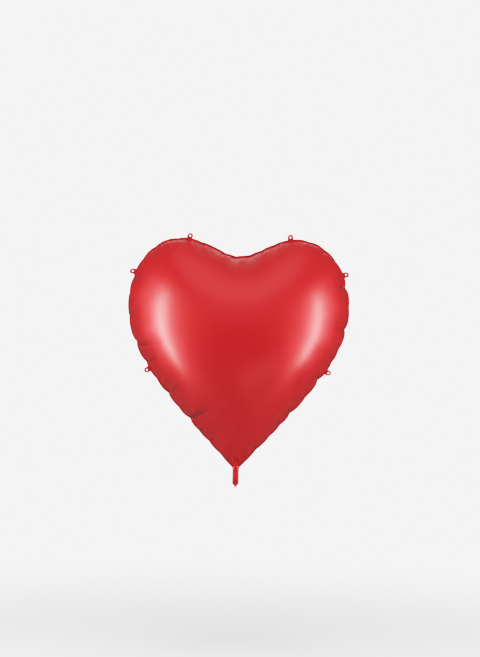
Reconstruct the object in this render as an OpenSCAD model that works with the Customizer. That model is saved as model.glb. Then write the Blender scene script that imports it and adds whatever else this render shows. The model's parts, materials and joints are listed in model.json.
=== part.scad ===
// Large heart-shaped foil balloon, inflated, with six hanging tabs and a self-sealing tail.
// The origin is the tie point on the neck, +Z runs up the heart, the front faces -Y,
// and the heat-sealed seam lies in the plane y = 0.

/* [Heart] */
// Width of the inflated heart across its seam flange
heart_w = 1290; // [1200:10:1380]
// Height of the tops of the lobes above the neck
lobe_h = 1338; // [1280:2:1400]
// Height of the notch between the lobes
notch_h = 1236; // [1200:2:1260]
// Distance from the middle to the top of each lobe
lobe_x = 335; // [310:5:360]
// Height at which the heart is widest
shoulder_h = 945; // [900:5:990]
// Thickness of the inflated heart, front to back
heart_d = 680; // [600:10:740]

/* [Foil] */
// Drawn thickness of each foil sheet (the real film is about 0.04)
foil_t = 1; // [0.8:0.1:1.5]
// Width of the flat heat-sealed flange around the heart
flange_w = 8; // [6:0.5:12]

/* [Hanging tabs] */
// Width of each tab
tab_w = 34; // [28:1:40]
// Distance from the edge of the flange to the middle of a tab's hole
tab_hole_out = 13; // [11:0.5:16]
// Diameter of the hole in each tab
tab_hole_d = 10; // [6:0.5:12]
// Gap between the edge of the flange and the fold line of a tab
tab_fold_gap = 2; // [1.9:0.1:3]

/* [Tail] */
// Width of the tail
tail_w = 38; // [34:1:44]
// Length of the tail below the neck
tail_l = 113; // [105:1:130]
// Width of the narrow tip of the tail
tip_w = 17; // [14:1:20]
// Length of the narrow tip of the tail
tip_l = 12; // [10:0.5:14]
// Diameter of the inflation hole in the front of the tail
inflation_hole_d = 12; // [8:0.5:14]
// Distance of the inflation hole below the neck
inflation_hole_down = 75; // [70:1:78]
// Diameter of the hanging hole in the tip
tip_hole_d = 5; // [4:0.5:6]

/* [Valve] */
// Drawn thickness of each valve film
film_t = 0.6; // [0.5:0.1:0.8]
// Width of the valve
valve_w = 24; // [20:1:24]
// Length of the valve inside the heart
valve_inside_l = 170; // [120:5:200]
// Length of the valve inside the tail
valve_tail_l = 62; // [55:1:64]

/* [Hidden] */

foil_red = [0.78, 0.10, 0.11];
foil_dark_red = [0.62, 0.07, 0.09];
film_white = [0.86, 0.86, 0.84];

// Clearance between pieces that fold past each other
fold_clear = 0.3;
// Half thickness of the tail, which is also the radius of its rounded root
tail_half_t = foil_t + film_t;
// Height at which the heart's sheets begin, just above the fold of the tail
neck_z = tail_half_t + fold_clear;

// The right half of the heart's edge is three cubic curves, each given by
// four points [x, z]: notch to lobe, lobe to shoulder, and shoulder to neck.
half_w = heart_w / 2;
notch_curve = [[0, notch_h], [95, notch_h], [lobe_x - 135, lobe_h], [lobe_x, lobe_h]];
lobe_curve = [[lobe_x, lobe_h], [lobe_x + 185, lobe_h],
              [half_w, shoulder_h + 205], [half_w, shoulder_h]];
flank_curve = [[half_w, shoulder_h], [half_w, shoulder_h - 255],
               [499, 494], [tail_w / 2, neck_z]];

notch_steps = 12;
lobe_steps = 14;
flank_steps = 18;

// The sheets arch over the valve where it passes through the neck
valve_passage_half_w = valve_w / 2 + 0.4;

// Middle of the crown, and the round shape that its inner contours approach
crown_z = 800;
crown_round_r = 560;
crown_rings = 13;
crown_power = 2.2;
crown_fall = 0.55;

// Side and place of each tab: the curve that it stands on and how far along it
top_place = [notch_curve, 0.896];
upper_place = [lobe_curve, 0.676];
lower_place = [flank_curve, 0.493];
left = -1;
right = 1;

function curve_point(c, t) =
    pow(1 - t, 3) * c[0] + 3 * pow(1 - t, 2) * t * c[1]
    + 3 * (1 - t) * t * t * c[2] + pow(t, 3) * c[3];
function curve_heading(c, t) =
    let (d = pow(1 - t, 2) * (c[1] - c[0]) + 2 * (1 - t) * t * (c[2] - c[1])
             + t * t * (c[3] - c[2]))
    d / norm(d);
// Curves run clockwise, so the outward normal is on the left of the heading
function outward(c, t) = let (h = curve_heading(c, t)) [-h[1], h[0]];

// Points along the right half, from the notch to the neck, moved inwards by inset
function curve_points(c, steps, inset) =
    [for (i = [0 : steps - 1]) curve_point(c, i / steps) - inset * outward(c, i / steps)];
function right_half(inset) =
    concat(curve_points(notch_curve, notch_steps, inset),
           curve_points(lobe_curve, lobe_steps, inset),
           curve_points(flank_curve, flank_steps, inset),
           [[tail_w / 2 - 0.7 * inset, neck_z + inset],
            [valve_passage_half_w, neck_z + inset]]);
// The whole edge, once around; the notch point isn't repeated
function heart_edge(inset) =
    let (half = right_half(inset), last = len(half) - 1)
    concat(half, [for (i = [last : -1 : 1]) [-half[i][0], half[i][1]]]);

// How far a point of the edge is lifted off the seam plane, by its place in heart_edge
last_right = notch_steps + lobe_steps + flank_steps + 1;
function lift(k) = k == last_right || k == last_right + 1 ? film_t : 0;

// Point of the crown between its middle (u = 0) and the sealed edge (u = 1)
function crown_point(edge_point, u, depth) =
    let (from_middle = edge_point - [0, crown_z],
         reach = norm(from_middle),
         r = u * crown_round_r + pow(u, 3) * (reach - crown_round_r),
         p = [0, crown_z] + from_middle / reach * r)
    [p[0], -depth * pow(max(0, 1 - pow(u, crown_power)), crown_fall), p[1]];

// One sheet of foil: a crowned shell with a flat flange, as a closed mesh.
// The rings run from the middle out over the outside, round the flange,
// and back to the middle over the inside.
module foil_sheet() {
    outer = heart_edge(0);
    seam = heart_edge(flange_w);
    seam_inside = heart_edge(flange_w + foil_t);
    n = len(outer);
    steps = [for (j = [1 : crown_rings]) sin(90 * j / crown_rings)];
    depth = heart_d / 2 - foil_t;
    outside = [for (u = steps) [for (k = [0 : n - 1]) crown_point(seam[k], u, depth) - [0, foil_t, 0]]];
    rim = [for (y = [-foil_t, 0]) [for (k = [0 : n - 1]) [outer[k][0], y, outer[k][1]]]];
    inside = [for (j = [crown_rings - 1 : -1 : 0])
              [for (k = [0 : n - 1]) crown_point(seam_inside[k], steps[j], depth)]];
    rings = [for (ring = concat(outside, rim, inside))
             [for (k = [0 : n - 1]) ring[k] - [0, lift(k), 0]]];
    front_pole = [0, -heart_d / 2, crown_z];
    inner_pole = [0, -depth, crown_z];
    points = concat([front_pole, inner_pole], [for (ring = rings) each ring]);
    function at(ring, k) = 2 + ring * n + k % n;
    last = len(rings) - 1;
    bands = [for (r = [0 : last - 1]) for (k = [0 : n - 1])
             each [[at(r, k), at(r, k + 1), at(r + 1, k)],
                   [at(r, k + 1), at(r + 1, k + 1), at(r + 1, k)]]];
    caps = [for (k = [0 : n - 1])
            each [[0, at(0, k + 1), at(0, k)], [1, at(last, k), at(last, k + 1)]]];
    polyhedron(points = points, faces = concat(bands, caps), convexity = 6);
}

// One tab lies in the seam plane with its fold line on the X axis and points along +Y
module flat_tab() {
    fold_to_hole = tab_hole_out - tab_fold_gap;
    difference() {
        union() {
            translate([0, 0, -foil_t])
                linear_extrude(2 * foil_t)
                    union() {
                        translate([-tab_w / 2, 0]) square([tab_w, fold_to_hole]);
                        translate([0, fold_to_hole])
                            intersection() {
                                circle(d = tab_w, $fn = 64);
                                translate([-tab_w / 2, 0]) square(tab_w);
                            }
                    }
            rotate([0, 90, 0]) cylinder(r = foil_t, h = tab_w, center = true, $fn = 24);
        }
        translate([0, fold_to_hole, 0])
            cylinder(d = tab_hole_d, h = 4 * foil_t, center = true, $fn = 48);
    }
}

module hanging_tab(place, side) {
    fold = curve_point(place[0], place[1]) + tab_fold_gap * outward(place[0], place[1]);
    way_out = outward(place[0], place[1]);
    translate([side * fold[0], 0, fold[1]])
        rotate([0, side * atan2(way_out[0], way_out[1]), 0])
            rotate([90, 0, 0])
                flat_tab();
}

// Outline of the tail seen from the front, with its root on the X axis
module tail_outline() {
    taper_end = -(tail_l - tip_l);
    shoulder = taper_end + (tail_w - tip_w) / 2;
    corner_r = 4;
    polygon([[-tail_w / 2, 0], [-tail_w / 2, shoulder + corner_r], [-tail_w / 2 + 2, shoulder],
             [-tip_w / 2, taper_end], [-tip_w / 2, -tail_l + 2], [-tip_w / 2 + 2, -tail_l],
             [tip_w / 2 - 2, -tail_l], [tip_w / 2, -tail_l + 2], [tip_w / 2, taper_end],
             [tail_w / 2 - 2, shoulder], [tail_w / 2, shoulder + corner_r], [tail_w / 2, 0]]);
}

// Hole through the tail along Y, at a distance below the neck
module tail_hole(d, down) {
    translate([0, 0, -down])
        rotate([90, 0, 0])
            cylinder(d = d, h = 6 * tail_half_t, center = true, $fn = 48);
}

// One ply of the tail: flat, round at the root, with a channel for the valve film
module tail_ply() {
    channel_w = valve_w + 1;
    channel_end = inflation_hole_down + inflation_hole_d / 2 + 3;
    difference() {
        intersection() {
            union() {
                rotate([90, 0, 0])
                    linear_extrude(2 * tail_half_t, center = true) tail_outline();
                rotate([0, 90, 0])
                    cylinder(r = tail_half_t, h = tail_w, center = true, $fn = 32);
            }
            translate([-tail_w, -tail_half_t, -2 * tail_l])
                cube([2 * tail_w, tail_half_t, 3 * tail_l]);
        }
        translate([-channel_w / 2, -film_t, -channel_end])
            cube([channel_w, 2 * film_t, channel_end + 2 * tail_half_t]);
        tail_hole(tip_hole_d, tail_l - tip_l / 2);
    }
}

// A strip of valve film on the front side of the seam plane
module film_strip(low, high) {
    translate([-valve_w / 2, -film_t, low]) cube([valve_w, film_t, high - low]);
}

module front_foil_sheet() { color(foil_red) foil_sheet(); }
module back_foil_sheet() { color(foil_dark_red) mirror([0, 1, 0]) foil_sheet(); }

module valve_front_film() {
    color(film_white) film_strip(neck_z, neck_z + valve_inside_l);
}
module valve_back_film() { mirror([0, 1, 0]) valve_front_film(); }

module tail_front_ply() {
    color(foil_red)
        difference() {
            tail_ply();
            tail_hole(inflation_hole_d, inflation_hole_down);
        }
}
module tail_back_ply() { color(foil_dark_red) mirror([0, 1, 0]) tail_ply(); }

module valve_inlet_front_film() {
    color(film_white) film_strip(-valve_tail_l, tail_half_t - fold_clear);
}
module valve_inlet_back_film() { mirror([0, 1, 0]) valve_inlet_front_film(); }

module top_left_tab() { color(foil_red) hanging_tab(top_place, left); }
module top_right_tab() { color(foil_red) hanging_tab(top_place, right); }
module upper_left_tab() { color(foil_red) hanging_tab(upper_place, left); }
module upper_right_tab() { color(foil_red) hanging_tab(upper_place, right); }
module lower_left_tab() { color(foil_red) hanging_tab(lower_place, left); }
module lower_right_tab() { color(foil_red) hanging_tab(lower_place, right); }

front_foil_sheet();
back_foil_sheet();
valve_front_film();
valve_back_film();
tail_front_ply();
tail_back_ply();
valve_inlet_front_film();
valve_inlet_back_film();
top_left_tab();
top_right_tab();
upper_left_tab();
upper_right_tab();
lower_left_tab();
lower_right_tab();
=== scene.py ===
"""Looks of the heart-shaped foil balloon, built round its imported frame. Metres throughout.

+Z runs up the heart from the neck, +X to the viewer's right, and the front faces -Y.
"""
import json
import math

import bpy
import bmesh
import numpy as np
from mathutils import Matrix, Vector
from mathutils.geometry import delaunay_2d_cdt
from mathutils.kdtree import KDTree


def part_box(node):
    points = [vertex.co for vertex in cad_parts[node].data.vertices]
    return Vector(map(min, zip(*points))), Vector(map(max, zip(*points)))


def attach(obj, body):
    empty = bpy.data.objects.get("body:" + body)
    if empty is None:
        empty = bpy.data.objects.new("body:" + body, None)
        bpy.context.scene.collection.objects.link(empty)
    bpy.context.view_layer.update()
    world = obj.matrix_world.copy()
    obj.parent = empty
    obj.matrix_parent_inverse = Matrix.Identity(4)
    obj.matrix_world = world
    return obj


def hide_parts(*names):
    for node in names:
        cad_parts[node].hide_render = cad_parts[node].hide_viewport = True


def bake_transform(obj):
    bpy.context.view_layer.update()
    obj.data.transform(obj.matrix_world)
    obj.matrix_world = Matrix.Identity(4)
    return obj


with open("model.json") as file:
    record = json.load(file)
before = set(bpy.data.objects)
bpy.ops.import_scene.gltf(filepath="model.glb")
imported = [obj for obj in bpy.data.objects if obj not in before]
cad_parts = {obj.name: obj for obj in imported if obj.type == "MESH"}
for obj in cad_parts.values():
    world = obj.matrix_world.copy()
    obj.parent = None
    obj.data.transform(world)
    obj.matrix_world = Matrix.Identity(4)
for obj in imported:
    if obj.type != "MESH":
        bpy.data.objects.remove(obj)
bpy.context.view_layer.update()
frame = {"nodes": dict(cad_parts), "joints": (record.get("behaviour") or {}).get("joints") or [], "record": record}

# ---------------------------------------------------------------- sizes
FRONT, BACK = -1, 1
SHEET_LO, SHEET_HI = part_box("front_foil_sheet")
TAIL_LO, TAIL_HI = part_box("tail_front_ply")
HALF_W = SHEET_HI.x
LOBE_H = SHEET_HI.z
NECK_Z = SHEET_LO.z
TAIL_HALF_W = TAIL_HI.x
TAIL_END = TAIL_LO.z
FLANGE = 0.008

# The heart's edge, right half, as three cubic curves: the same design as the CAD's
NOTCH_H = 1.236
LOBE_X = 0.335
SHOULDER_H = 0.945
EDGE_CURVES = (
    ((0, NOTCH_H), (0.095, NOTCH_H), (LOBE_X - 0.135, LOBE_H), (LOBE_X, LOBE_H)),
    ((LOBE_X, LOBE_H), (LOBE_X + 0.185, LOBE_H), (HALF_W, SHOULDER_H + 0.205), (HALF_W, SHOULDER_H)),
    ((HALF_W, SHOULDER_H), (HALF_W, SHOULDER_H - 0.255), (0.499, 0.494), (TAIL_HALF_W, NECK_Z)),
)
# The flat cut of each sheet, right half. The sheet's mesh isn't made from it
CUT_CURVES = (
    ((0, 1.57), (0.10, 1.57), (0.22, 1.59), (0.32, 1.59)),
    ((0.32, 1.59), (0.66, 1.59), (0.81, 1.27), (0.81, 1.03)),
    ((0.81, 1.03), (0.81, 0.77), (0.56, 0.24), (0.02, 0.007)),
)

# Where the seam gathers into a pucker: shares of the way from the notch to the neck
DEEP_RIGHT = (0.379, 0.500, 0.665, 0.788)
SHALLOW_RIGHT = (0.030, 0.064, 0.102, 0.205, 0.255, 0.300, 0.436, 0.560, 0.600, 0.722, 0.832, 0.874, 0.930)
DEEP_LEFT = (0.548, 0.612, 0.720, 0.815)
SHALLOW_LEFT = (0.012, 0.041, 0.118, 0.185, 0.254, 0.302, 0.360, 0.405, 0.472,
                0.668, 0.770, 0.858, 0.898, 0.947)
DEEP, SHALLOW = 0.012, 0.005    # how far in the two sizes of pucker draw the seam
DEPTH_VARY = 0.2
PUCKER_W = 0.022         # half width of a pucker along the seam
GATHER_SWAY = 0.0035     # how far a pucker swings to the front or the back
GATHER_SHARE = 0.8       # how much of the slack the puckers take up
GATHER_W = 0.007         # half width of the place where that slack gathers
NECK_STEPS = 6
NECK_PUFF = 0.0075       # how far the gas holds the sheets apart at the neck

# Inflation: how much larger the sheet starts than its final outline, and its first shape
SLACK_X, SLACK_Z = 1.07, 1.045
FIRST_DEPTH = 0.305
CROWN_MIDDLE = Vector((0, 0.76))
CROWN_ROUND_R = 0.56
CROWN_POWER, CROWN_FALL = 2.4, 0.55
NECK_SLIM, NECK_SLIM_H = 0.55, 0.09   # how much shallower the crown is at the neck, and over what height
SEAM_SPACING = 0.0105
SHEET_BANDS = ((0.006, 0.035, 0.0115), (0.035, 0.085, 0.0165), (0.085, 2, 0.024))   # from, to, spacing
LAST_FRAME, GATHER_FRAME = 44, 20
TAUT_FROM, TAUT_FULL, TAUT_ROUNDS = 0.045, 0.12, 24   # distances from the seam, and smoothing rounds

# Creases that run in from the puckers
CREASE_SHARE = 0.6       # a crease's depth as a share of its pucker's
CREASE_W = 0.009         # its half width
CREASE_REACH_LEFT, CREASE_REACH_RIGHT = 0.27, 0.12    # its length at a deep pucker
CREASE_SHADE_W = 0.0075          # half width of the painted dark shade line along its bottom
CRINKLE_DEPTH, CRINKLE_REACH = 0.0004, 0.03

# The welded flange
FLANGE_ROWS = (0.0, 0.0008, 0.003, 0.0055, FLANGE)
FLANGE_WAVE = 0.0007
PLY_GAP = 0.00025


# ---------------------------------------------------------------- curves and outlines
def curve(points, steps):
    """Points along a cubic curve of four control points."""
    c = np.array([[float(x) for x in p] for p in points])
    t = np.linspace(0, 1, steps + 1)[:, None]
    return ((1 - t) ** 3 * c[0] + 3 * (1 - t) ** 2 * t * c[1]
            + 3 * (1 - t) * t * t * c[2] + t ** 3 * c[3])


def lengths(line):
    """Distance along a line at each of its points."""
    return np.r_[0, np.cumsum(np.linalg.norm(np.diff(line, axis=0), axis=1))]


def along(line, distances):
    """Points of a line at these distances along it."""
    s = lengths(line)
    return np.stack([np.interp(distances, s, line[:, k]) for k in range(line.shape[1])], 1)


def evenly(line, count):
    return along(line, np.linspace(0, lengths(line)[-1], count))


def half_outline(curves, count=1001):
    """The right half of an outline, from the notch to the neck, as evenly spaced points."""
    parts = [curve(c, 300)[(i > 0):] for i, c in enumerate(curves)]
    return evenly(np.concatenate(parts), count)


def outward(line):
    """Unit normals of a line that runs clockwise round the heart."""
    d = np.gradient(line, axis=0)
    d /= np.linalg.norm(d, axis=1)[:, None]
    return np.stack([-d[:, 1], d[:, 0]], 1)


def cut_area():
    line = half_outline(CUT_CURVES)
    return abs(float(np.sum((line[1:, 0] + line[:-1, 0]) * np.diff(line[:, 1]))))


def inside(points, loop):
    """Which points lie inside a closed loop."""
    x, y = points[:, 0], points[:, 1]
    found = np.zeros(len(points), bool)
    for (xa, ya), (xb, yb) in zip(loop, np.roll(loop, 1, axis=0)):
        crosses = (ya > y) != (yb > y)
        found ^= crosses & (x < (xb - xa) * (y - ya) / (yb - ya + 1e-15) + xa)
    return found


def tree_of(points):
    tree = KDTree(len(points))
    for i, p in enumerate(points):
        tree.insert((*p, 0)[:3], i)
    tree.balance()
    return tree


def nearest(points, loop):
    """Each point's distance from a closed loop, and how far along the loop that nearest place is."""
    tree = tree_of(loop)
    index = np.array([tree.find((*p, 0)[:3])[1] for p in points])
    runs = np.roll(loop, -1, axis=0) - loop
    size = np.linalg.norm(runs, axis=1)
    starts = np.cumsum(size) - size
    distance, place = np.full(len(points), np.inf), np.zeros(len(points))
    for i in ((index - 1) % len(loop), index):
        t = np.clip(np.sum((points - loop[i]) * runs[i], axis=1) / (size[i] ** 2 + 1e-18), 0, 1)
        d = np.linalg.norm(points - loop[i] - t[:, None] * runs[i], axis=1)
        closer = d < distance
        distance[closer] = d[closer]
        place[closer] = (starts[i] + t * size[i])[closer]
    return distance, place


def fill(loops, bands, relax=4):
    """Triangles over the inside of a loop, less any holes, which are the other loops.

    bands are (from, to, spacing): the spacing of points at a distance from the loops.
    Returns (points, triangles); the loops' own points come first.
    """
    edge = np.concatenate(loops)
    edges = []
    start = 0
    for loop in loops:
        n = len(loop)
        edges += [(start + i, start + (i + 1) % n) for i in range(n)]
        start += n

    def clear_of_holes(points):
        keep = inside(points, loops[0])
        for hole in loops[1:]:
            keep &= ~inside(points, hole)
        return keep

    def distance(points):
        return np.min([nearest(points, loop)[0] for loop in loops], axis=0)

    kept = [edge]
    lo, hi = edge.min(0), edge.max(0)
    for near, far, spacing in bands:
        rows = np.arange(lo[1], hi[1], spacing * math.sqrt(3) / 2)
        columns = np.arange(lo[0], hi[0], spacing)
        grid = np.array([(x + spacing / 2 * (k % 2), z) for k, z in enumerate(rows) for x in columns])
        grid = grid[clear_of_holes(grid)]
        d = distance(grid)
        grid = grid[(d > near) & (d < far)]
        tree = tree_of(np.concatenate(kept))
        kept.append(np.array([p for p in grid if tree.find((p[0], p[1], 0))[2] > spacing * 0.72])
                    .reshape(-1, 2))
    points = np.concatenate(kept)

    def triangles(points):
        made = delaunay_2d_cdt([Vector(p) for p in points], edges, [], 1, 1e-7)
        where = np.array([list(v) for v in made[0]])
        faces = np.array([list(f) for f in made[2]])
        return where, faces[clear_of_holes(where[faces].mean(1))]

    for _ in range(relax):
        points, faces = triangles(points)
        total, count = np.zeros_like(points), np.zeros(len(points))
        for a, b in ((0, 1), (1, 2), (2, 0), (1, 0), (2, 1), (0, 2)):
            np.add.at(total, faces[:, a], points[faces[:, b]])
            np.add.at(count, faces[:, a], 1)
        free = np.arange(len(points)) >= len(edge)
        count = np.maximum(count, 1)
        points = np.where(free[:, None], points + 0.6 * (total / count[:, None] - points), points)
    return triangles(points)


# ---------------------------------------------------------------- meshes
def new_piece(name, co, faces, smooth=True):
    mesh = bpy.data.meshes.new(name)
    mesh.from_pydata([tuple(map(float, p)) for p in co], [], [tuple(map(int, f)) for f in faces])
    mesh.update()
    mesh.polygons.foreach_set("use_smooth", [smooth] * len(mesh.polygons))
    piece = bpy.data.objects.new(name, mesh)
    bpy.context.scene.collection.objects.link(piece)
    return piece


def coordinates(piece):
    co = np.zeros(len(piece.data.vertices) * 3)
    piece.data.vertices.foreach_get("co", co)
    return co.reshape(-1, 3)


def set_coordinates(piece, co):
    piece.data.vertices.foreach_set("co", np.asarray(co, float).ravel())
    piece.data.update()


def bake(piece):
    """Replaces a piece's mesh with what its modifiers and shape keys make of it now."""
    graph = bpy.context.evaluated_depsgraph_get()
    made = bpy.data.meshes.new_from_object(piece.evaluated_get(graph))
    piece.modifiers.clear()
    if piece.data.shape_keys:
        piece.shape_key_clear()
    piece.data = made


def subdivide(piece, levels=1):
    m = piece.modifiers.new("subdivide", "SUBSURF")
    m.levels = m.render_levels = levels
    bake(piece)


def point_values(piece, name, values):
    a = piece.data.attributes.get(name) or piece.data.attributes.new(name, "FLOAT", "POINT")
    a.data.foreach_set("value", np.asarray(values, np.float32))


# ---------------------------------------------------------------- the inflated sheets
def seam_line():
    """The right half of the seam, one flange's width inside the edge."""
    edge = half_outline(EDGE_CURVES)
    line = edge - FLANGE * outward(edge)
    line[0, 0] = 0
    line[-1] = (TAIL_HALF_W - 0.7 * FLANGE, NECK_Z + FLANGE)
    return evenly(line, len(line))


def slackened(points):
    """Where points of the outline are before inflation."""
    neck = np.array([0, NECK_Z])
    return neck + (points - neck) * [SLACK_X, SLACK_Z]


def gathered(deep, shallow, count):
    """The right half of the seam drawn into puckers: its points (x, z), their sway along y,
    and each pucker's (x, z, depth)."""
    line = seam_line()
    total = lengths(line)[-1]
    shares = np.array(sorted(deep + shallow))
    number = np.arange(len(shares))
    depths = np.where(np.isin(shares, deep), DEEP, SHALLOW) * (1 + DEPTH_VARY * np.sin(2.4 * number))
    sways = GATHER_SWAY * np.cos(math.pi * number) * (1 + 0.4 * np.sin(1.7 * number))
    wanted = np.linspace(0, total, 4001)
    extra = np.interp(wanted, lengths(line), np.gradient(lengths(slackened(line)), lengths(line))) - 1
    share_out = np.full_like(wanted, 1 - GATHER_SHARE)
    for share, depth in zip(shares, depths):
        share_out += (GATHER_SHARE * total * depth / depths.sum() / (GATHER_W * math.sqrt(2 * math.pi))
                      * np.exp(-((wanted - share * total) / GATHER_W) ** 2 / 2))
    density = 1 + extra * share_out
    taken = np.r_[0, np.cumsum((density[1:] + density[:-1]) / 2)]
    where = np.interp(np.linspace(0, 1, count), taken / taken[-1], wanted)
    inwards, sway = np.zeros(count), np.zeros(count)
    for share, depth, y in zip(shares, depths, sways):
        bump = np.exp(-np.abs((where - share * total) / PUCKER_W) ** 1.3)
        inwards += depth * bump
        sway += y * bump
    s = lengths(line)
    n = np.stack([np.interp(where, s, column) for column in outward(line).T], 1)
    points = along(line, where) - n * inwards[:, None]
    points[0, 0] = 0
    return points, sway, np.column_stack([along(line, shares * total), depths])


class Seam:
    """The seam all round the heart: down the right side, across the neck and up the left side.

    slack: its points before inflation; home: where they end; sway and arch: how far they end
    to the back, and away from the middle of the neck; puckers: each one's (x, z, depth).
    """

    def __init__(self):
        slack = slackened(seam_line())
        steps = int(round(lengths(slack)[-1] / SEAM_SPACING))
        slack = evenly(slack, steps + 1)
        right, right_sway, right_puckers = gathered(DEEP_RIGHT, SHALLOW_RIGHT, steps + 1)
        left, left_sway, left_puckers = gathered(DEEP_LEFT, SHALLOW_LEFT, steps + 1)
        mirror = np.array([-1, 1])
        t = np.linspace(0, 1, NECK_STEPS + 1)[1:-1, None]
        none = np.zeros(NECK_STEPS - 1)

        def whole(one, across, other):
            return np.concatenate([one, across, other[::-1][:-1]])

        self.slack = whole(slack, slack[-1] * (1 - t) + slack[-1] * mirror * t, slack * mirror)
        self.home = whole(right, right[-1] * (1 - t) + left[-1] * mirror * t, left * mirror)
        self.sway = whole(right_sway, none, left_sway)
        self.arch = whole(0 * right_sway, NECK_PUFF * np.sqrt(4 * t * (1 - t))[:, 0], 0 * left_sway)
        self.puckers = np.concatenate([right_puckers, left_puckers * [-1, 1, 1]])


def crown(points, loop, depth):
    """A crowned shape over points of a loop: heart-shaped at the edge, rounder inwards."""
    middle = np.array(CROWN_MIDDLE)
    out = loop - middle
    angle = np.arctan2(out[:, 0], out[:, 1])
    order = np.argsort(angle)
    d = points - middle
    r = np.linalg.norm(d, axis=1)
    edge_r = np.interp(np.arctan2(d[:, 0], d[:, 1]), angle[order],
                       np.linalg.norm(out, axis=1)[order], period=2 * math.pi)
    u = np.clip(r / edge_r, 0, 1)
    new_r = u * CROWN_ROUND_R + u ** 3 * (edge_r - CROWN_ROUND_R)
    place = middle + d / np.maximum(r, 1e-9)[:, None] * new_r[:, None]
    slim = 1 - NECK_SLIM * np.exp(-(place[:, 1] - NECK_Z) / NECK_SLIM_H)
    y = -depth * np.clip(1 - u ** CROWN_POWER, 0, 1) ** CROWN_FALL * slim
    return np.stack([place[:, 0], y, place[:, 1]], 1)


def inflate(piece, home, pinned):
    """Cloth simulation: the pinned seam closes to its gathered place as gas fills the sheet."""
    scene = bpy.context.scene
    piece.shape_key_add(name="slack", from_mix=False)
    key = piece.shape_key_add(name="home", from_mix=False)
    key.data.foreach_set("co", home.ravel())
    key.value = 0
    key.keyframe_insert("value", frame=1)
    key.value = 1
    key.keyframe_insert("value", frame=GATHER_FRAME)
    group = piece.vertex_groups.new(name="seam")
    group.add([int(i) for i in pinned], 1.0, "REPLACE")
    cloth = piece.modifiers.new("cloth", "CLOTH")
    s = cloth.settings
    s.vertex_group_mass = "seam"
    s.quality = 6
    s.mass = 0.3
    s.tension_stiffness = 400
    s.compression_stiffness = 4
    s.shear_stiffness = 10
    s.bending_stiffness = 0.02
    s.tension_damping = s.compression_damping = s.shear_damping = 25
    s.bending_damping = 0.5
    s.air_damping = 3
    s.use_pressure = True
    s.uniform_pressure_force = 20
    s.effector_weights.gravity = 0
    scene.frame_start, scene.frame_end = 1, LAST_FRAME
    cloth.point_cache.frame_end = LAST_FRAME
    for f in range(1, LAST_FRAME + 1):
        scene.frame_set(f)
    bake(piece)
    piece.animation_data_clear()
    piece.vertex_groups.clear()


def draw_taut(piece, rim):
    """Smooths the sheet away from its seam, where the gas keeps the film taut."""
    co = coordinates(piece)
    edges = np.array([tuple(e.vertices) for e in piece.data.edges])
    edges = np.concatenate([edges, edges[:, ::-1]])
    t = np.clip((nearest(co, co[rim])[0] - TAUT_FROM) / (TAUT_FULL - TAUT_FROM), 0, 1)
    weight = (0.5 * t * t * (3 - 2 * t))[:, None]
    count = np.bincount(edges[:, 0], minlength=len(co))[:, None]
    for _ in range(TAUT_ROUNDS):
        total = np.zeros_like(co)
        np.add.at(total, edges[:, 0], co[edges[:, 1]])
        co += weight * (total / count - co)
    set_coordinates(piece, co)


def crinkle(place):
    """Uneven waves along the seam, about -1 to 1."""
    return (np.sin(place * 2 * math.pi / 0.019 + 2.2 * np.sin(place * 9))
            + 0.8 * np.sin(place * 2 * math.pi / 0.031 + 1.7 * np.sin(place * 13))
            + 0.6 * np.sin(place * 2 * math.pi / 0.047)) / 2.4


def rim_of(piece):
    """A sheet's rim vertices in order, from the notch down the right side."""
    bm = bmesh.new()
    bm.from_mesh(piece.data)
    edge_of = {}
    for e in bm.edges:
        if e.is_boundary:
            for v, w in (e.verts, reversed(e.verts)):
                edge_of.setdefault(v.index, []).append(w.index)
    co = coordinates(piece)
    first = min(edge_of, key=lambda i: abs(co[i, 0]) + abs(co[i, 2] - NOTCH_H))
    loop = [first, max(edge_of[first], key=lambda i: co[i, 0])]
    while True:
        ahead = [i for i in edge_of[loop[-1]] if i != loop[-2]][0]
        if ahead == first:
            break
        loop.append(ahead)
    bm.free()
    return np.array(loop)


def creases(place, distance, rim, puckers):
    """Height of the short creases that run in from the puckers, and a mask, 0 to 1, for the shade painted along
    their bottoms.
    """
    height, fold = np.zeros(len(place)), np.zeros(len(place))
    centres = nearest(puckers[:, :2], rim[:, [0, 2]])[1]
    for centre, (x, _, depth) in zip(centres, puckers):
        reach = (CREASE_REACH_LEFT if x < 0 else CREASE_REACH_RIGHT) * min(1, depth / DEEP) ** 2
        fade = np.clip(distance / 0.006, 0, 1) * np.clip(1 - distance / reach, 0, 1) ** 0.6
        height -= CREASE_SHARE * depth * np.exp(-(np.abs(place - centre) / CREASE_W) ** 1.4) * fade
        # painted shade: a mask that darkens the colour along each crease's bottom
        fold += np.clip(depth / DEEP, 0, 1) * np.exp(-((place - centre) / CREASE_SHADE_W) ** 2) * fade
    return height, np.clip(fold, 0, 1)


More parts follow.
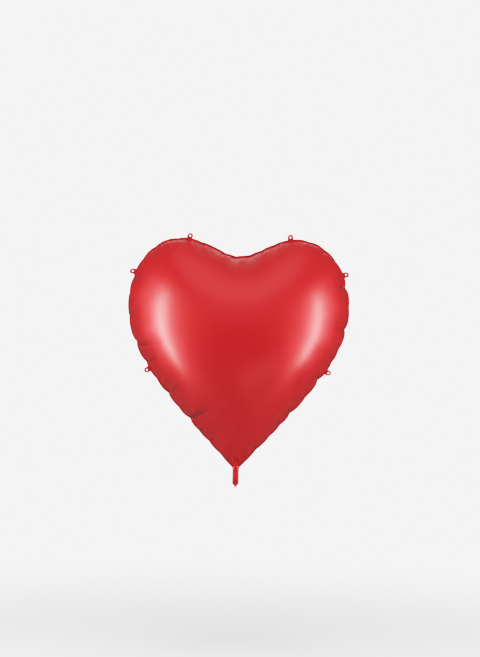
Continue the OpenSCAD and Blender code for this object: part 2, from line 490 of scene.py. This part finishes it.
def flange(name, co, rim, side):
    """The flat strip outside the seam, open where the neck lets the gas through."""
    line = co[rim]
    flat = line[:, [0, 2]]
    run = np.roll(flat, -2, axis=0) - np.roll(flat, 2, axis=0)
    run /= np.linalg.norm(run, axis=1)[:, None]
    out = np.stack([-run[:, 1], run[:, 0]], 1)
    out[0] = (0, 1)
    across = np.abs(flat[:, 0]) < TAIL_HALF_W - 0.7 * FLANGE - 0.0005
    neck = across & (flat[:, 1] < NECK_Z + 2 * FLANGE)
    s = nearest(line, line)[1]
    wave = FLANGE_WAVE * crinkle(1.3 * s + 0.1) * clear_of_tabs(flat)
    vertices = []
    for d in FLANGE_ROWS:
        spot = flat + out * d
        y = line[:, 1] + side * PLY_GAP * min(1, d / FLANGE_ROWS[1]) + wave * d / FLANGE
        vertices.append(np.stack([spot[:, 0], y, spot[:, 1]], 1))
    quads = []
    n = len(line)
    for row in range(len(FLANGE_ROWS) - 1):
        for i in range(n):
            j = (i + 1) % n
            if neck[i] or neck[j]:
                continue
            quad = [row * n + i, row * n + j, (row + 1) * n + j, (row + 1) * n + i]
            quads.append(quad if side == FRONT else quad[::-1])
    strip = new_piece(name, np.concatenate(vertices), quads)
    point_values(strip, "place", np.tile(s, len(FLANGE_ROWS)))
    point_values(strip, "distance", -np.repeat(FLANGE_ROWS, n))
    return strip


def foil_sheet(name, side, seam):
    """One sheet of foil, inflated from a crowned start, with the flat flange welded to its twin."""
    points, faces = fill([seam.slack], SHEET_BANDS)
    rim = np.arange(len(seam.slack))
    start = crown(points, seam.slack, FIRST_DEPTH)
    start[rim] = np.stack([seam.slack[:, 0], 0 * seam.sway, seam.slack[:, 1]], 1)
    home = start.copy()
    home[rim] = np.stack([seam.home[:, 0], -side * seam.sway - seam.arch, seam.home[:, 1]], 1)
    piece = new_piece(name, start, faces)
    if np.mean([p.normal[1] for p in piece.data.polygons]) > 0:
        piece.data.flip_normals()
    inflate(piece, home, rim)
    draw_taut(piece, rim)
    if side == BACK:
        set_coordinates(piece, coordinates(piece) * [1, -1, 1])
        piece.data.flip_normals()
    subdivide(piece, 2)

    # Short creases at the puckers and fine crinkles, both dying out inwards
    co = coordinates(piece)
    rim = rim_of(piece)
    distance, place = nearest(co, co[rim])
    normals = np.array([v.normal for v in piece.data.vertices])
    height = (CRINKLE_DEPTH * crinkle(place + 0.4 * distance) * np.exp(-distance / CRINKLE_REACH)
              * (1 - np.exp(-distance / 0.005)))
    creased, fold = creases(place, distance, co[rim], seam.puckers)
    height += creased
    co += normals * height[:, None]
    set_coordinates(piece, co)
    point_values(piece, "place", place)
    point_values(piece, "distance", distance)
    # fold carries the painted crease shade to the material
    point_values(piece, "fold", fold)
    join(piece, flange(name + "_flange", co, rim, side))
    return piece


def join(piece, *others):
    """Adds other pieces' meshes to a piece's own."""
    with bpy.context.temp_override(active_object=piece, selected_editable_objects=[piece, *others]):
        bpy.ops.object.join()


def tab_places():
    """Each tab's name, fold point and hole centre, from the frame."""
    folds = {j["name"]: j for j in frame["joints"]}
    holes = {m["name"]: m for m in frame["record"]["mounts"]}
    for name in (f"{row}_{hand}_tab" for row in ("top", "upper", "lower") for hand in ("left", "right")):
        yield name, Vector(folds[f"{name}_fold"]["pos_m"]), Vector(holes[f"{name}_hole"]["pos_m"])


def clear_of_tabs(flat, reach=0.03):
    """0 beside a tab's root, rising to 1 away from it."""
    clear = np.ones(len(flat))
    for _, fold, _ in tab_places():
        d = np.linalg.norm(flat - [fold.x, fold.z], axis=1)
        clear = np.minimum(clear, np.clip((d - reach) / reach, 0, 1))
    return clear


# ---------------------------------------------------------------- flat parts: tabs and tail
def circle(x, z, r, count):
    a = np.linspace(0, 2 * math.pi, count, endpoint=False)
    return np.stack([x + r * np.cos(a), z + r * np.sin(a)], 1)


def slab(name, loops, spacing, place):
    """A thin closed piece over the inside of a loop, less its holes.

    place(points, face) gives the places in space of flat points, for face -1 in front and 1 behind.
    """
    points, faces = fill(loops, ((spacing * 0.6, 1, spacing),), relax=2)
    n = len(points)
    front, back = place(points, FRONT), place(points, BACK)
    sides = []
    start = 0
    for loop in loops:
        for i in range(len(loop)):
            a, b = start + i, start + (i + 1) % len(loop)
            sides.append((a, b, b + n, a + n))
        start += len(loop)
    piece = new_piece(name, np.concatenate([front, back]),
                      [*map(tuple, faces), *(tuple(f[::-1] + n) for f in faces), *sides])
    bm = bmesh.new()
    bm.from_mesh(piece.data)
    bmesh.ops.recalc_face_normals(bm, faces=bm.faces)
    for e in bm.edges:
        e.smooth = e.calc_face_angle(0) < 0.8
    bm.to_mesh(piece.data)
    bm.free()
    return piece


TAB_ROOT = -0.0075       # how far the root reaches in over the flange, from the fold
TAB_HEAD_R = 0.0165
TAB_ROOT_HALF_W = 0.0205
TAB_HOLE_R = 0.0052
TAB_HALF_T = 0.00045
EYELET_RISE = 0.0006


def tab(name, fold, hole, number):
    """A hanging tab: a flared root welded over the flange and a round head with a hole."""
    out = (hole - fold).normalized()
    side = Vector((out.z, 0, -out.x))
    head = (hole - fold).length
    skew = 0.0022 * math.sin(2.1 * number + 0.6)
    turn = np.linspace(math.radians(-14), math.radians(194), 40)
    ring = np.stack([TAB_HEAD_R * np.cos(turn), head + TAB_HEAD_R * np.sin(turn)], 1)
    flare = curve(((TAB_ROOT_HALF_W, TAB_ROOT), (TAB_HEAD_R * 1.06, TAB_ROOT * 0.5),
                   (TAB_HEAD_R * 0.92, head * 0.25), ring[0]), 10)[:-1]
    root = np.stack([np.linspace(-TAB_ROOT_HALF_W, TAB_ROOT_HALF_W, 22), np.full(22, TAB_ROOT)], 1)[1:-1]
    outline = np.concatenate([flare, ring, (flare * [-1, 1])[::-1], root])
    outline[:, 0] += skew * np.clip(outline[:, 1] / head, 0, 2)
    middle = (skew, head)

    def place(points, face):
        u, v = points[:, 0], points[:, 1]
        r = np.hypot(u - middle[0], v - middle[1])
        half_t = TAB_HALF_T + EYELET_RISE * np.exp(-((r - TAB_HOLE_R - 0.0018) / 0.0011) ** 2)
        bend = (0.0012 * np.sin(u * 130 + number) * np.clip(v / head, 0, 2)
                + 0.0016 * math.cos(1.3 * number) * np.clip(v / head, 0, 2) ** 2)
        y = face * half_t + bend
        return np.outer(u, side) + np.outer(v, out) + np.array(fold) + np.outer(y, (0, 1, 0))

    piece = slab(name + "_foil", [outline, circle(*middle, TAB_HOLE_R, 24)], 0.0021, place)
    co = coordinates(piece)
    point_values(piece, "place", (co - np.array(fold)) @ np.array(side) + number)
    point_values(piece, "distance", np.full(len(co), -FLANGE))
    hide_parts(name)
    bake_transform(piece)
    return piece


TAIL_TOP = NECK_Z + 0.014
TAIL_TAPER_Z = -0.09
TIP_Z = -0.101
TIP_HALF_W = 0.0085
TAIL_WELD = 0.0045
TAIL_FILLET = 0.006
TAIL_PLY_T = 0.0002


def tail_half_width(z):
    """The tail's half width: a fillet into the flange, a straight strip, a taper and a narrow tip."""
    fillet = TAIL_FILLET * np.clip((z + 0.008) / 0.018, 0, 1) ** 2
    taper = np.clip((TAIL_TAPER_Z - z) / (TAIL_TAPER_Z - TIP_Z), 0, 1)
    taper = taper * taper * (3 - 2 * taper)
    return TAIL_HALF_W + fillet - (TAIL_HALF_W - TIP_HALF_W) * taper


def tail_puff(x, z):
    """Half the tail's thickness where a little gas fills it."""
    along_z = np.interp(z, (TAIL_END, TIP_Z, TAIL_TAPER_Z, -0.055, -0.02, 0, NECK_Z + FLANGE, TAIL_TOP),
                        (0, 0.0002, 0.0018, 0.0036, 0.0042, 0.0042, 0.0066, 0.0075))
    gas = np.interp(z, (NECK_Z, NECK_Z + FLANGE), (TAIL_HALF_W - TAIL_WELD, TAIL_HALF_W - 0.75 * FLANGE))
    gas = np.minimum(gas, tail_half_width(z) - TAIL_WELD * 0.8)
    across = np.clip(1 - (x / np.maximum(gas, 1e-4)) ** 2, 0, 1) ** 0.62
    return along_z * across


def tail_ply(name, side, number):
    """One ply of the filling tail."""
    z = np.linspace(TAIL_TOP, TAIL_END + 0.002, 64)
    right = np.stack([tail_half_width(z), z], 1)
    corner = right[-1] + circle(-0.002, 0, 0.002, 16)[[0, 15, 14, 13, 12]]
    right = np.concatenate([right[:-1], corner])
    top = np.stack([np.linspace(-right[0, 0], right[0, 0], 24), np.full(24, TAIL_TOP)], 1)[1:-1]
    outline = np.concatenate([right, (right * [-1, 1])[::-1], top])
    mounts = {m["name"]: m for m in frame["record"]["mounts"]}
    loops = [outline]
    holes = ("tail_tip_hole", "inflation_hole") if side == FRONT else ("tail_tip_hole",)
    for hole in holes:
        x, _, hz = mounts[hole]["pos_m"]
        loops.append(circle(x, hz, mounts[hole]["dims"]["r_mm"] / 1000, 28))

    def place(points, face):
        x, z = points[:, 0], points[:, 1]
        gathers = 0.0005 * np.sin(x * 900) * np.exp(-((z + 0.012) / 0.014) ** 2)
        dents = 0.0004 * np.sin(z * 210 + x * 60 + number) * (np.abs(x) < TAIL_HALF_W)
        puff = tail_puff(x, z)
        y = side * (0.0004 + puff + (gathers + dents) * np.clip(puff / 0.002, 0, 1)) + face * TAIL_PLY_T / 2
        return np.stack([x, y, z], 1)

    piece = slab(name, loops, 0.0024, place)
    co = coordinates(piece)
    point_values(piece, "place", co[:, 2])
    from_weld = tail_half_width(co[:, 2]) - np.abs(co[:, 0]) - TAIL_WELD
    point_values(piece, "distance", np.clip(from_weld, -FLANGE, 1))
    return piece


# ---------------------------------------------------------------- materials
def node_tree(name):
    material = bpy.data.materials.new(name)
    material.use_nodes = True
    nodes, links = material.node_tree.nodes, material.node_tree.links
    nodes.clear()
    shader = nodes.new("ShaderNodeBsdfPrincipled")
    output = nodes.new("ShaderNodeOutputMaterial")
    links.new(shader.outputs["BSDF"], output.inputs["Surface"])
    return material, nodes, links, shader


def math_node(nodes, links, operation, *inputs):
    node = nodes.new("ShaderNodeMath")
    node.operation = operation
    for i, value in enumerate(inputs):
        if isinstance(value, (int, float)):
            node.inputs[i].default_value = value
        else:
            links.new(value, node.inputs[i])
    return node.outputs[0]


def map_range(nodes, links, value, low, high, to_low, to_high):
    node = nodes.new("ShaderNodeMapRange")
    node.interpolation_type = "SMOOTHSTEP"
    links.new(value, node.inputs["Value"])
    for key, number in (("From Min", low), ("From Max", high), ("To Min", to_low), ("To Max", to_high)):
        node.inputs[key].default_value = number
    return node.outputs["Result"]


def noise(nodes, links, vector, scale, detail):
    node = nodes.new("ShaderNodeTexNoise")
    node.inputs["Scale"].default_value = scale
    node.inputs["Detail"].default_value = detail
    links.new(vector, node.inputs["Vector"])
    return node.outputs["Fac"]


def attribute(nodes, name):
    node = nodes.new("ShaderNodeAttribute")
    node.attribute_name = name
    return node.outputs["Fac"]


RED = (0.56, 0.005, 0.008, 1)
# darker red of the weld, also used for the painted shade along the creases
RED_WELD_AND_CREASE_SHADE = (0.34, 0.004, 0.006, 1)
FOLD_SHADE = 1.9         # more than 1 carries the colour past the deep red


def foil_material():
    """Red metallised film: satin, crinkled along the seam, stippled and darker where it is welded, with painted
    shade along the creases.
    """
    material, nodes, links, shader = node_tree("red_foil")
    where = nodes.new("ShaderNodeTexCoord").outputs["Object"]
    place, distance = attribute(nodes, "place"), attribute(nodes, "distance")
    weld = map_range(nodes, links, distance, -0.0012, -0.0002, 1, 0)
    near = map_range(nodes, links, distance, 0.0, 0.055, 1, 0)

    stretched = nodes.new("ShaderNodeCombineXYZ")
    links.new(place, stretched.inputs[0])
    links.new(math_node(nodes, links, "MULTIPLY", distance, 0.16), stretched.inputs[1])
    crumple = noise(nodes, links, stretched.outputs[0], 95, 3)
    soft = noise(nodes, links, where, 9, 2)
    fine = noise(nodes, links, where, 420, 2)
    stipple = nodes.new("ShaderNodeTexVoronoi")
    stipple.inputs["Scale"].default_value = 900
    links.new(where, stipple.inputs["Vector"])

    height = math_node(nodes, links, "MULTIPLY", crumple, math_node(nodes, links, "MULTIPLY", near, 0.0004))
    height = math_node(nodes, links, "ADD", height, math_node(nodes, links, "MULTIPLY", soft, 0.0010))
    height = math_node(nodes, links, "ADD", height, math_node(nodes, links, "MULTIPLY", fine, 0.000012))
    height = math_node(nodes, links, "ADD", height, math_node(
        nodes, links, "MULTIPLY", stipple.outputs["Distance"],
        math_node(nodes, links, "MULTIPLY", weld, 0.00012)))
    bump = nodes.new("ShaderNodeBump")
    bump.inputs["Strength"].default_value = 1
    bump.inputs["Distance"].default_value = 1
    links.new(height, bump.inputs["Height"])
    links.new(bump.outputs["Normal"], shader.inputs["Normal"])

    colour = nodes.new("ShaderNodeMix")
    colour.data_type = "RGBA"
    colour.clamp_factor = False
    colour.inputs["A"].default_value = RED
    colour.inputs["B"].default_value = RED_WELD_AND_CREASE_SHADE
    # painted shade: the crease mask pulls the colour towards the darker red along each crease
    painted_crease_shade = math_node(nodes, links, "MULTIPLY", attribute(nodes, "fold"), FOLD_SHADE)
    links.new(math_node(nodes, links, "MAXIMUM", math_node(nodes, links, "MULTIPLY", weld, 0.55), painted_crease_shade),
              colour.inputs["Factor"])
    links.new(colour.outputs["Result"], shader.inputs["Base Color"])
    links.new(map_range(nodes, links, weld, 0, 1, 0.46, 0.54), shader.inputs["Roughness"])
    shader.inputs["Metallic"].default_value = 0.6
    shader.inputs["Coat Weight"].default_value = 0.75
    shader.inputs["Coat Roughness"].default_value = 0.3
    shader.inputs["Coat IOR"].default_value = 1.5
    return material


def film_material():
    """Clear valve film with a faint cloudiness."""
    material, nodes, links, shader = node_tree("valve_film")
    where = nodes.new("ShaderNodeTexCoord").outputs["Object"]
    cloud = noise(nodes, links, where, 160, 3)
    links.new(map_range(nodes, links, cloud, 0.3, 0.7, 0.12, 0.3), shader.inputs["Roughness"])
    shader.inputs["Base Color"].default_value = (0.86, 0.86, 0.84, 1)
    shader.inputs["Transmission Weight"].default_value = 0.75
    shader.inputs["IOR"].default_value = 1.45
    return material


def floor_material(fade_from, fade_to):
    """Pale floor that fades into the background with distance from its middle."""
    material, nodes, links, shader = node_tree("pale_floor")
    where = nodes.new("ShaderNodeTexCoord").outputs["Object"]
    length = nodes.new("ShaderNodeVectorMath")
    length.operation = "LENGTH"
    links.new(where, length.inputs[0])
    fade = map_range(nodes, links, length.outputs["Value"], fade_from, fade_to, 1, 0)
    links.new(fade, shader.inputs["Alpha"])
    shader.inputs["Base Color"].default_value = (0.9, 0.9, 0.9, 1)
    shader.inputs["Roughness"].default_value = 0.9
    shader.inputs["Specular IOR Level"].default_value = 0.1
    return material


def paint(piece, material):
    piece.data.materials.clear()
    piece.data.materials.append(material)


# ---------------------------------------------------------------- build
red = foil_material()
clear_film = film_material()
seam = Seam()
for side, name, word in ((FRONT, "front_foil", "front"), (BACK, "back_foil", "back")):
    foil = foil_sheet(name, side, seam)
    paint(foil, red)
    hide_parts(f"{word}_foil_sheet")
    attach(foil, "balloon")
    cut_area()
    ply = tail_ply(f"tail_{word}_foil", side, 3 * side)
    paint(ply, red)
    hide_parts(f"tail_{word}_ply")
    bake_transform(ply)

for number, (name, fold, hole) in enumerate(tab_places()):
    paint(tab(name, fold, hole, number), red)

for name in ("valve_front_film", "valve_back_film", "valve_inlet_front_film", "valve_inlet_back_film"):
    paint(frame["nodes"][name], clear_film)

# ---------------------------------------------------------------- studio
FLOOR_Z = -1.15
BACKGROUND_LEVEL = 2.1
# Film-like roll-off of the brightest tones: (level, level shown)
SHOULDER = ((0.62, 0.62), (0.8, 0.71), (1.0, 0.77), (1.5, 0.85), (3.0, 0.95))
ROOM_LEVEL, CEILING_LEVEL = 0.09, 0.2
bpy.ops.mesh.primitive_circle_add(vertices=96, radius=6, fill_type="NGON", location=(0, 0, FLOOR_Z))
floor = bpy.context.object
floor.name = "floor"
paint(floor, floor_material(1.4, 4.2))
floor.visible_glossy = False

world = bpy.data.worlds.new("studio")
world.use_nodes = True
tree = world.node_tree
seen = tree.nodes.new("ShaderNodeLightPath").outputs["Is Camera Ray"]
height = tree.nodes.new("ShaderNodeSeparateXYZ")
tree.links.new(tree.nodes.new("ShaderNodeTexCoord").outputs["Generated"], height.inputs[0])
room = map_range(tree.nodes, tree.links, height.outputs["Z"], 0.1, 0.95, ROOM_LEVEL, CEILING_LEVEL)
level = tree.nodes.new("ShaderNodeMix")
level.inputs["B"].default_value = BACKGROUND_LEVEL
tree.links.new(seen, level.inputs["Factor"])
tree.links.new(room, level.inputs["A"])
tree.links.new(level.outputs["Result"], tree.nodes["Background"].inputs["Strength"])
tree.nodes["Background"].inputs["Color"].default_value = (1, 1, 1, 1)
bpy.context.scene.world = world


def softbox(name, azimuth, elevation, distance, width, height, power, roll=0, gloss=True):
    """A soft area light at this bearing from the front, aimed at the balloon's middle."""
    aim = Vector((0, 0, (NECK_Z + LOBE_H) / 2))
    a, e = math.radians(azimuth), math.radians(elevation)
    light = bpy.data.lights.new(name, "AREA")
    light.shape = "ELLIPSE"
    light.size, light.size_y = width, height
    light.energy = power
    box = bpy.data.objects.new(name, light)
    bearing = Vector((math.sin(a) * math.cos(e), -math.cos(a) * math.cos(e), math.sin(e)))
    box.location = aim + distance * bearing
    facing = (aim - box.location).to_track_quat("-Z", "Y").to_matrix()
    box.rotation_euler = (facing @ Matrix.Rotation(math.radians(roll), 3, "Z")).to_euler()
    box.visible_camera = False
    box.visible_glossy = gloss
    bpy.context.scene.collection.objects.link(box)


softbox("left_softbox", -65.5, 0, 2.8, 0.45, 3.3, 92, roll=-19)
softbox("right_softbox", 65.5, 0, 2.8, 0.4, 3.1, 75, roll=16)
softbox("front_softbox", 0, 38, 5.0, 5.0, 5.0, 14)
softbox("overhead_softbox", 180, 48, 2.8, 2.6, 0.5, 4)
softbox("top_fill", 0, 68, 4.0, 3.0, 3.0, 245, gloss=False)
softbox("low_fill", 18, -24, 3.5, 2.5, 1.0, 88, gloss=False)
softbox("back_fill", 180, 20, 5.0, 4.0, 3.0, 160, gloss=False)

# Camera: level, its aim somewhat above the heart's middle, rolled a little, long lens
CAMERA_LENS, SENSOR = 85, 36
VIEW_H = 3.824
AIM = Vector((0.0095, 0, 0.813))
ROLL = math.radians(1.1)
camera = bpy.data.objects.new("camera", bpy.data.cameras.new("camera"))
camera.data.lens = CAMERA_LENS
camera.data.sensor_width = SENSOR
camera.data.sensor_fit = "AUTO"
camera.location = AIM + Vector((0, -VIEW_H * CAMERA_LENS / SENSOR, 0))
level_view = Matrix.Rotation(math.radians(90), 3, "X")
camera.rotation_euler = (level_view @ Matrix.Rotation(ROLL, 3, "Z")).to_euler()
bpy.context.scene.collection.objects.link(camera)
bpy.context.scene.camera = camera
view = bpy.context.scene.view_settings
view.view_transform = "Standard"
view.use_curve_mapping = True
view.curve_mapping.clip_max_x = SHOULDER[-1][0]
tone = view.curve_mapping.curves[3]
tone.points[-1].location = SHOULDER[-1]
for spot in SHOULDER[:-1]:
    tone.points.new(*spot)
view.curve_mapping.update()
